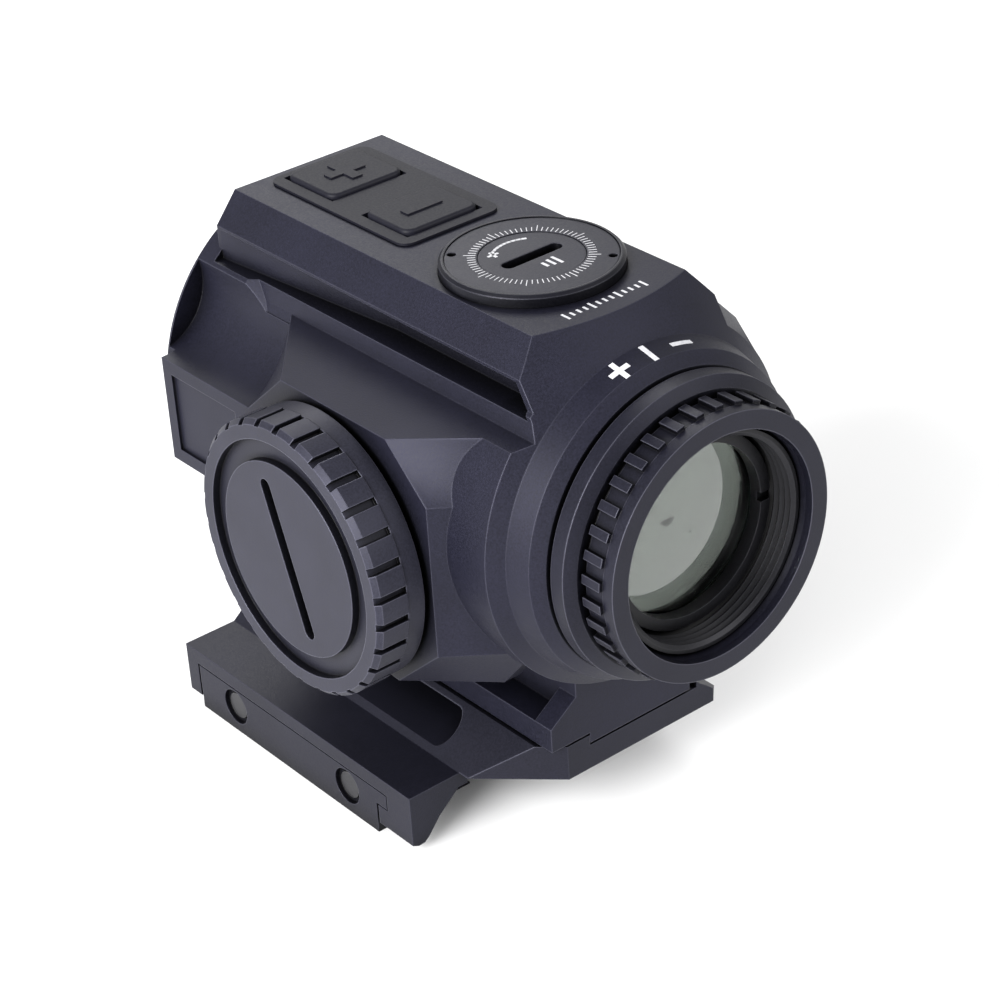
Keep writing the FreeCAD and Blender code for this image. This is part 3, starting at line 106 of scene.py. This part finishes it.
def blasted_finish_and_painted_light():
    """Speckle of a blasted surface, slow drift of its colour, edges lightened by wear and painted
    highlight, and gaps darkened by painted shade.
    """
    flat, sharp = 0.998, 0.88
    edge_reach, gap_reach = 0.0007, 0.004
    grain_height = 0.00003
    group, given, made = new_group(
        "blasted_finish_and_painted_light",
        [("Colour", "NodeSocketColor", (0.05, 0.05, 0.06, 1)),
         # Edge Colour is the colour of the outer edges, painted there as wear and as painted
         # highlight.
         ("Edge Colour", "NodeSocketColor", (0.2, 0.2, 0.24, 1)),
         ("Edge Width", "NodeSocketFloat", 0.00018),
         ("Edge Wear", "NodeSocketFloat", 0.6),
         ("Speckle", "NodeSocketFloat", 0.5),
         ("Speckle Density", "NodeSocketFloat", 5200.0),
         ("Roughness", "NodeSocketFloat", 0.48),
         ("Relief", "NodeSocketFloat", 0.3)],
        [("Colour", "NodeSocketColor"), ("Roughness", "NodeSocketFloat"),
         ("Normal", "NodeSocketVector")])
    place = group.nodes.new("ShaderNodeTexCoord").outputs["Object"]
    grain = group.nodes.new("ShaderNodeTexNoise")
    grain.inputs["Detail"].default_value = 3.0
    link(group, place, grain.inputs["Vector"])
    link(group, given.outputs["Speckle Density"], grain.inputs["Scale"])
    drift = object_noise(group, 130.0)
    edge = group.nodes.new("ShaderNodeBevel")
    edge.samples = 6
    link(group, given.outputs["Edge Width"], edge.inputs["Radius"])
    surface = group.nodes.new("ShaderNodeNewGeometry")
    turn = group.nodes.new("ShaderNodeVectorMath")
    turn.operation = "DOT_PRODUCT"
    link(group, edge.outputs["Normal"], turn.inputs[0])
    link(group, surface.outputs["Normal"], turn.inputs[1])
    open_side = group.nodes.new("ShaderNodeAmbientOcclusion")
    open_side.samples = 6
    open_side.inputs["Distance"].default_value = edge_reach
    # Edge mask: convex outer edges are painted lighter, as anodising wear and as painted
    # highlight.
    edge_mask = math_node(
        group, "MULTIPLY", span(group, turn.outputs["Value"], flat, sharp, 0.0, 1.0),
        span(group, open_side.outputs["AO"], 0.8, 0.97, 0.0, 1.0))
    edge_mask = math_node(group, "MULTIPLY", edge_mask, given.outputs["Edge Wear"])
    fleck = math_node(group, "MULTIPLY", span(group, grain.outputs["Fac"], 0.3, 0.72, -1.0, 1.0),
                      given.outputs["Speckle"])
    shade = math_node(group, "ADD", fleck, span(group, drift, 0.3, 0.7, 0.9, 1.1))
    # Painted shade: ambient occlusion darkens the colour in narrow gaps, pockets and recesses.
    gap = group.nodes.new("ShaderNodeAmbientOcclusion")
    gap.samples = 8
    gap.inputs["Distance"].default_value = gap_reach
    painted_gap_shade = span(group, gap.outputs["AO"], 0.3, 0.9, 0.02, 1.0)
    shade = math_node(group, "MULTIPLY", shade, painted_gap_shade)
    toned = group.nodes.new("ShaderNodeVectorMath")
    toned.operation = "SCALE"
    link(group, given.outputs["Colour"], toned.inputs[0])
    link(group, shade, toned.inputs["Scale"])
    colour = group.nodes.new("ShaderNodeMix")
    colour.data_type = "RGBA"
    link(group, edge_mask, colour.inputs["Factor"])
    link(group, toned.outputs["Vector"], colour.inputs["A"])
    link(group, given.outputs["Edge Colour"], colour.inputs["B"])
    link(group, colour.outputs["Result"], made.inputs["Colour"])
    rough = math_node(group, "ADD", given.outputs["Roughness"],
                      span(group, grain.outputs["Fac"], 0.3, 0.7, -0.06, 0.06))
    link(group, rough, made.inputs["Roughness"])
    relief = group.nodes.new("ShaderNodeBump")
    relief.inputs["Distance"].default_value = grain_height
    link(group, given.outputs["Relief"], relief.inputs["Strength"])
    link(group, grain.outputs["Fac"], relief.inputs["Height"])
    link(group, edge.outputs["Normal"], relief.inputs["Normal"])
    link(group, relief.outputs["Normal"], made.inputs["Normal"])
    return group


finish_and_light_group = blasted_finish_and_painted_light()


def new_material(name, **surface):
    """A material with a bare Principled shader; surface gives its own socket values."""
    material = bpy.data.materials.new(name)
    material.use_nodes = True
    shader = material.node_tree.nodes["Principled BSDF"]
    for socket, value in surface.items():
        shader.inputs[socket.replace("_", " ")].default_value = value
    return material, shader


def anodised(name, colour, edge, metallic=0.35, **values):
    """A blasted and anodised finish with this piece's own colours and values, its edges lightened
    by wear and painted highlight and its gaps darkened by painted shade.
    """
    material, shader = new_material(name, Metallic=metallic, Specular_IOR_Level=0.22)
    tree = material.node_tree
    finish = tree.nodes.new("ShaderNodeGroup")
    finish.node_tree = finish_and_light_group
    finish.inputs["Colour"].default_value = (*colour, 1)
    finish.inputs["Edge Colour"].default_value = (*edge, 1)
    for socket, value in values.items():
        finish.inputs[socket.replace("_", " ")].default_value = value
    link(tree, finish.outputs["Colour"], shader.inputs["Base Color"])
    link(tree, finish.outputs["Roughness"], shader.inputs["Roughness"])
    link(tree, finish.outputs["Normal"], shader.inputs["Normal"])
    return material


def give(material, *names):
    for name in names:
        for slot in nodes[name].material_slots:
            slot.link = "OBJECT"
            slot.material = material


housing_grey = anodised("housing_grey", (0.011, 0.011, 0.021), (0.075, 0.075, 0.105), Speckle=0.28)
give(housing_grey, "housing")
riser_grey = anodised("riser_grey", (0.012, 0.012, 0.02), (0.065, 0.065, 0.09), Speckle=0.22)
give(riser_grey, "riser", "clamp_jaw")

# Diopter ring.
# Turned from the same aluminium as the housing and anodised with it. Its ribs are milled, and
# their edges are painted a little brighter, as wear and painted highlight. An o-ring under the
# ring gives it its drag.

ring_grey = anodised("ring_grey", (0.01, 0.01, 0.018), (0.1, 0.1, 0.13), Roughness=0.42,
                     Edge_Wear=0.75, Speckle=0.25)
give(ring_grey, "diopter_ring")


def rubber(name, colour, grain, roughness):
    """Moulded rubber: even colour with a very fine moulded grain."""
    material, shader = new_material(name, Specular_IOR_Level=0.2)
    tree = material.node_tree
    noise = object_noise(tree, grain)
    tone = tree.nodes.new("ShaderNodeVectorMath")
    tone.operation = "SCALE"
    tone.inputs[0].default_value = colour
    link(tree, span(tree, noise, 0.3, 0.7, 0.8, 1.2), tone.inputs["Scale"])
    link(tree, tone.outputs["Vector"], shader.inputs["Base Color"])
    link(tree, span(tree, noise, 0.3, 0.7, roughness - 0.05, roughness + 0.05),
         shader.inputs["Roughness"])
    relief = tree.nodes.new("ShaderNodeBump")
    relief.inputs["Strength"].default_value = 0.25
    relief.inputs["Distance"].default_value = 0.00002
    link(tree, noise, relief.inputs["Height"])
    link(tree, relief.outputs["Normal"], shader.inputs["Normal"])
    return material


seal_rubber = rubber("seal_rubber", (0.012, 0.012, 0.013), 3000.0, 0.4)
give(seal_rubber, "eyepiece_o_ring", "elevation_o_ring", "windage_o_ring", "cap_o_ring")

# Ocular and objective.
# Coated glass in blackened cells. The eyepiece cell is threaded inside, and the threads show as
# fine rings round the glass.

cell_black = anodised("cell_black", (0.014, 0.014, 0.017), (0.06, 0.06, 0.07), Roughness=0.38,
                      Edge_Width=0.00008, Speckle=0.25)
give(cell_black, "ocular_cell", "ocular_retainer", "objective_cell", "objective_retainer",
     "prism_holder", "reticle_carrier")


def coated_glass(name, colour, roughness, coat):
    """Optical glass with a thin coating that tints its reflection."""
    material, shader = new_material(
        name, Base_Color=(*colour, 1), Roughness=roughness, Transmission_Weight=1.0,
        IOR=1.5, Coat_Weight=coat)
    tree = material.node_tree
    link(tree, span(tree, object_noise(tree, 160.0), 0.3, 0.7, roughness, roughness + 0.008),
         shader.inputs["Roughness"])
    return material


lens_glass = coated_glass("lens_glass", (0.74, 0.8, 0.74), 0.004, 0.7)
give(lens_glass, "ocular_front_lens", "objective_lens")
inner_glass = coated_glass("inner_glass", (0.3, 0.35, 0.35), 0.015, 0.0)
give(inner_glass, "ocular_rear_lens", "reticle_disc", "front_prism", "rear_prism")

# Keypad.
# A silicone pad in a pocket of the deck, with two keys over dome switches on a small board. Each
# key carries a raised plus or minus sign in the same rubber.

key_rubber = rubber("key_rubber", (0.006, 0.006, 0.011), 4200.0, 0.55)
give(key_rubber, "keypad_pad", "plus_key", "minus_key")
board_green = rubber("board_green", (0.02, 0.09, 0.045), 1200.0, 0.4)
give(board_green, "key_board", "led_block")

# Elevation and windage adjusters.
# A scale ring sits in a slim bezel round a rotor with a coin slot. The ring carries a printed
# scale, and the rotor a printed arrow beside its slot, with three short bars on the other side.

dial_grey = anodised("dial_grey", (0.011, 0.011, 0.019), (0.08, 0.08, 0.1), Roughness=0.42,
                     Speckle=0.2)
give(dial_grey, "elevation_dial", "windage_dial", "elevation_rotor", "windage_rotor")
bezel_black = anodised("bezel_black", (0.006, 0.006, 0.01), (0.08, 0.08, 0.1), Roughness=0.4,
                       Speckle=0.2)
give(bezel_black, "elevation_bezel", "windage_bezel")
print_white, white_shader = new_material("print_white", Roughness=0.55)


def print_ink():
    """White pad-printing ink, slightly uneven in cover."""
    tree = print_white.node_tree
    tone = tree.nodes.new("ShaderNodeVectorMath")
    tone.operation = "SCALE"
    tone.inputs[0].default_value = (0.6, 0.6, 0.63)
    link(tree, span(tree, object_noise(tree, 2600.0), 0.3, 0.7, 0.82, 1.05), tone.inputs["Scale"])
    link(tree, tone.outputs["Vector"], white_shader.inputs["Base Color"])


print_ink()
ink_height = 0.00004


def new_piece(name, mesh, material, body):
    piece = bpy.data.objects.new(name, mesh)
    bpy.context.collection.objects.link(piece)
    piece.data.materials.clear()
    piece.data.materials.append(material)
    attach(piece, body)
    return piece


def printed_bars(name, bars, place, body):
    """Flat printed bars. A bar is centre x, y, length, width and turn; place maps them to 3-D."""
    work = bmesh.new()
    for x, y, length, width, turn in bars:
        bmesh.ops.create_cube(work, size=1.0, matrix=(
            Matrix.Translation((x, y, 0.0)) @ Matrix.Rotation(turn, 4, "Z")
            @ Matrix.Diagonal((length, width, ink_height, 1.0))))
    bmesh.ops.transform(work, matrix=place, verts=work.verts)
    bmesh.ops.recalc_face_normals(work, faces=work.faces)
    mesh = bpy.data.meshes.new(name)
    work.to_mesh(mesh)
    work.free()
    return new_piece(name, mesh, print_white, body)


def scale_tree():
    """Ticks round a circle, every so many of them longer, printed in one ink."""
    tree = bpy.data.node_groups.new("printed_scale", "GeometryNodeTree")
    tree.interface.new_socket("Geometry", in_out="OUTPUT", socket_type="NodeSocketGeometry")
    for name, kind, value in (
        ("Ticks", "NodeSocketInt", 72), ("Long Every", "NodeSocketInt", 9),
        ("Inner Radius", "NodeSocketFloat", 0.0054), ("Short Length", "NodeSocketFloat", 0.0008),
        ("Long Length", "NodeSocketFloat", 0.0012), ("Width", "NodeSocketFloat", 0.00008),
        ("Ink", "NodeSocketMaterial", None),
    ):
        socket = tree.interface.new_socket(name, in_out="INPUT", socket_type=kind)
        if value is not None:
            socket.default_value = value
    given, made = tree.nodes.new("NodeGroupInput"), tree.nodes.new("NodeGroupOutput")
    points = tree.nodes.new("GeometryNodePoints")
    link(tree, given.outputs["Ticks"], points.inputs["Count"])
    index = tree.nodes.new("GeometryNodeInputIndex").outputs[0]
    share = math_node(tree, "DIVIDE", index, given.outputs["Ticks"])
    angle = math_node(tree, "MULTIPLY", share, 2 * math.pi)
    where = tree.nodes.new("ShaderNodeCombineXYZ")
    link(tree, math_node(tree, "MULTIPLY", math_node(tree, "COSINE", angle, 0.0),
                         given.outputs["Inner Radius"]), where.inputs["X"])
    link(tree, math_node(tree, "MULTIPLY", math_node(tree, "SINE", angle, 0.0),
                         given.outputs["Inner Radius"]), where.inputs["Y"])
    placed = tree.nodes.new("GeometryNodeSetPosition")
    link(tree, points.outputs[0], placed.inputs["Geometry"])
    link(tree, where.outputs[0], placed.inputs["Position"])
    rest = math_node(tree, "MODULO", index, given.outputs["Long Every"])
    is_long = math_node(tree, "LESS_THAN", rest, 0.5)
    extra = math_node(tree, "SUBTRACT", given.outputs["Long Length"],
                      given.outputs["Short Length"])
    length = math_node(tree, "ADD", given.outputs["Short Length"],
                       math_node(tree, "MULTIPLY", extra, is_long))
    size = tree.nodes.new("ShaderNodeCombineXYZ")
    link(tree, length, size.inputs["X"])
    link(tree, given.outputs["Width"], size.inputs["Y"])
    size.inputs["Z"].default_value = ink_height
    turn = tree.nodes.new("ShaderNodeCombineXYZ")
    link(tree, angle, turn.inputs["Z"])
    tick = tree.nodes.new("GeometryNodeMeshCube")
    outward = tree.nodes.new("GeometryNodeTransform")
    outward.inputs["Translation"].default_value = (0.5, 0.0, 0.0)
    link(tree, tick.outputs["Mesh"], outward.inputs["Geometry"])
    spread = tree.nodes.new("GeometryNodeInstanceOnPoints")
    link(tree, placed.outputs["Geometry"], spread.inputs["Points"])
    link(tree, outward.outputs["Geometry"], spread.inputs["Instance"])
    link(tree, turn.outputs[0], spread.inputs["Rotation"])
    link(tree, size.outputs[0], spread.inputs["Scale"])
    real = tree.nodes.new("GeometryNodeRealizeInstances")
    link(tree, spread.outputs[0], real.inputs["Geometry"])
    inked = tree.nodes.new("GeometryNodeSetMaterial")
    link(tree, real.outputs[0], inked.inputs["Geometry"])
    link(tree, given.outputs["Ink"], inked.inputs["Material"])
    link(tree, inked.outputs[0], made.inputs["Geometry"])
    return tree


scale = scale_tree()


def from_tree(name, tree, values, place, body):
    """Runs a geometry tree with its inputs set, and keeps the result as a plain mesh piece."""
    holder = bpy.data.objects.new(name + "_maker", bpy.data.meshes.new(name + "_maker"))
    bpy.context.collection.objects.link(holder)
    modifier = holder.modifiers.new("maker", "NODES")
    modifier.node_group = tree
    sockets = {item.name: item.identifier for item in tree.interface.items_tree
               if item.in_out == "INPUT"}
    for socket, value in values.items():
        modifier[sockets[socket]] = value
    holder.update_tag()
    bpy.context.view_layer.update()
    ready = holder.evaluated_get(bpy.context.evaluated_depsgraph_get())
    mesh = bpy.data.meshes.new_from_object(ready)
    holder.modifiers.clear()
    bpy.data.objects.remove(holder)
    mesh.transform(place)
    return new_piece(name, mesh, values["Ink"], body)


def arrow_marks(name, place, body):
    """A curved arrow beside the slot, and three bars of growing length across the slot from it."""
    shaft_radius, tip_radius, stroke = 3.9 * MM, 3.75 * MM, 0.3 * MM
    start, sweep, steps = 62, 62, 9
    tip, tip_length, tip_lean = math.radians(132), 1.25 * MM, 0.75
    bars = []
    for step in range(steps):
        angle = math.radians(start + sweep * step / (steps - 1))
        bars.append((shaft_radius * math.cos(angle), shaft_radius * math.sin(angle),
                     0.62 * MM, stroke, angle + math.pi / 2))
    for lean in (tip_lean, -tip_lean):
        bars.append((tip_radius * math.cos(tip), tip_radius * math.sin(tip),
                     tip_length, stroke, tip + math.pi / 2 + lean))
    for step in range(3):
        bars.append(((-0.4 + 0.75 * step) * MM, -2.4 * MM, stroke, (1.0 + 0.35 * step) * MM, 0))
    return printed_bars(name, bars, place, body)


for side, axis, out in (("elevation", Vector((0, 0, 1)), Matrix.Identity(4)),
                        ("windage", Vector((1, 0, 0)), Matrix.Rotation(math.pi / 2, 4, "Y"))):
    low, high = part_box(f"{side}_dial")
    middle = (low + high) / 2
    face = Matrix.Translation(middle + axis * (high - middle).dot(axis)) @ out
    from_tree(f"{side}_scale", scale, {"Ink": print_white}, face, "sight")
    low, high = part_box(f"{side}_rotor")
    top = Matrix.Translation(middle + axis * (high - middle).dot(axis)) @ out
    arrow_marks(f"{side}_arrow", top, f"{side}_knob")

# Printed marks on the deck and the collar.
# A short rule ahead of the elevation dial, and a plus, a bar and a minus round the collar over
# the diopter ring, pad printed in the same white ink.

deck_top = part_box("housing")[1].z
rule_y = -28.55 * MM
printed_bars("deck_rule", [
    ((-4.8 + 0.8 * step) * MM, 0.0, 0.24 * MM, (1.25 if step % 4 == 0 else 0.75) * MM, 0.0)
    for step in range(13)], Matrix.Translation((0, rule_y, deck_top)), "sight")


def collar_marks(name, marks):
    """Marks bent round the collar's cone. Each is its angle, place along Y and two half sizes."""
    work = bmesh.new()
    axis_z, front_y, back_y, front_r, back_r = (
        33.4 * MM, -35.85 * MM, -33.3 * MM, 16.8 * MM, 17.4 * MM)
    middle_r = (front_r + back_r) / 2
    half_ink = 0.03 * MM
    for angle, along, half_round, half_along in marks:
        columns = []
        for step in range(7):
            turned = math.radians(angle) + (step / 3 - 1) * half_round / middle_r
            column = []
            for lift in (half_ink, -half_ink):
                for y in (along - half_along, along + half_along):
                    radius = front_r + (back_r - front_r) * (y - front_y) / (back_y - front_y)
                    radius += lift
                    column.append(work.verts.new(
                        (radius * math.sin(turned), y, axis_z + radius * math.cos(turned))))
            columns.append(column)
        for one, two in zip(columns, columns[1:]):
            for a, b in ((0, 1), (1, 3), (3, 2), (2, 0)):
                work.faces.new((one[a], one[b], two[b], two[a]))
        for column in (columns[0], columns[-1]):
            work.faces.new([column[i] for i in (0, 1, 3, 2)])
    bmesh.ops.recalc_face_normals(work, faces=work.faces)
    mesh = bpy.data.meshes.new(name)
    work.to_mesh(mesh)
    work.free()
    return new_piece(name, mesh, print_white, "sight")


mark_y = -34.65 * MM
collar_marks("collar_signs", [
    (-13.0, mark_y, 1.15 * MM, 0.27 * MM), (-13.0, mark_y, 0.27 * MM, 1.15 * MM),
    (-0.7, mark_y, 0.27 * MM, 1.15 * MM), (13.0, mark_y, 1.3 * MM, 0.25 * MM)])

# Battery cap and its fittings.
# The cap is milled with broad ribs and a coin slot and anodised a shade lighter. Inside are a
# nickel-plated coin cell and gold-plated contacts.

cap_grey = anodised("cap_grey", (0.022, 0.022, 0.034), (0.12, 0.12, 0.16), Roughness=0.46,
                    Edge_Wear=0.7, Speckle=0.25)
give(cap_grey, "battery_cap")
give(bezel_black, "battery_neck")


def plated(name, colour, roughness):
    """Bright plating with faint handling marks."""
    material, shader = new_material(name, Base_Color=(*colour, 1), Metallic=1.0)
    tree = material.node_tree
    link(tree, span(tree, object_noise(tree, 900.0), 0.3, 0.7, roughness - 0.08, roughness + 0.08),
         shader.inputs["Roughness"])
    return material


give(plated("nickel", (0.62, 0.61, 0.58), 0.25), "coin_cell")
give(plated("gold", (0.8, 0.6, 0.25), 0.3), "contact_plate", "contact_spring", "plus_dome",
     "minus_dome")

# Screws and plungers.
# Alloy steel with a black oxide finish, its edges painted a little brighter than the anodising,
# as wear where a wrench or the rail has rubbed it and as painted highlight.

screw_steel = anodised("screw_steel", (0.05, 0.05, 0.055), (0.3, 0.3, 0.31), metallic=0.8,
                       Roughness=0.34, Speckle=0.2)
give(screw_steel, "front_clamp_screw", "rear_clamp_screw", "front_foot_screw",
     "back_foot_screw", "prism_screw_1", "prism_screw_2", "prism_screw_3", "prism_screw_4",
     "prism_clamp_plate", "elevation_plunger", "windage_plunger")

# Studio.
# A plain pale floor, large soft lights and one camera.

low, high = cad_box
floor_mesh = bpy.data.meshes.new("floor")
floor_mesh.from_pydata([(-2, -2, low.z), (2, -2, low.z), (2, 2, low.z), (-2, 2, low.z)], [],
                       [(0, 1, 2, 3)])
floor = bpy.data.objects.new("floor", floor_mesh)
bpy.context.collection.objects.link(floor)
floor_white, _ = new_material("floor_white", Base_Color=(0.9, 0.9, 0.9, 1), Roughness=0.8)
floor_mesh.materials.append(floor_white)

world = bpy.data.worlds.new("studio")
bpy.context.scene.world = world
world.use_nodes = True
world.node_tree.nodes["Background"].inputs["Color"].default_value = (1.0, 1.0, 1.0, 1)
world.node_tree.nodes["Background"].inputs["Strength"].default_value = 0.75


def soft_light(name, place, size, power):
    """A square soft box at a place in metres that faces the sight's middle."""
    lamp = bpy.data.lights.new(name, "AREA")
    lamp.size = size
    lamp.energy = power
    holder = bpy.data.objects.new(name, lamp)
    bpy.context.collection.objects.link(holder)
    holder.location = place
    aim = Vector((0, 0, 0.03)) - Vector(place)
    holder.rotation_euler = aim.to_track_quat("-Z", "Y").to_euler()


soft_light("left_box", (-0.62, -0.12, 0.28), 0.5, 11.0)
soft_light("back_box", (0.3, 0.55, 0.5), 0.25, 1.6)
soft_light("front_box", (0.35, -0.6, 0.35), 0.4, 2.0)

camera = bpy.data.objects.new("camera", bpy.data.cameras.new("camera"))
bpy.context.collection.objects.link(camera)
bpy.context.scene.camera = camera
camera.data.sensor_width = 36.0
camera.data.lens = 101.3
camera.data.clip_start = 0.01
camera.location = (-0.1521, -0.20655, 0.1705)
back = Vector((-0.52883, -0.68082, 0.50677)).normalized()
heading = math.radians(-37.84)
level = Vector((math.cos(heading), math.sin(heading), 0.0))
upright = back.cross(level)
roll = math.radians(-3.73)
right = level * math.cos(roll) + upright * math.sin(roll)
up = upright * math.cos(roll) - level * math.sin(roll)
camera.rotation_euler = Matrix((right, up, back)).transposed().to_euler()
bpy.context.scene.view_settings.view_transform = "Standard"
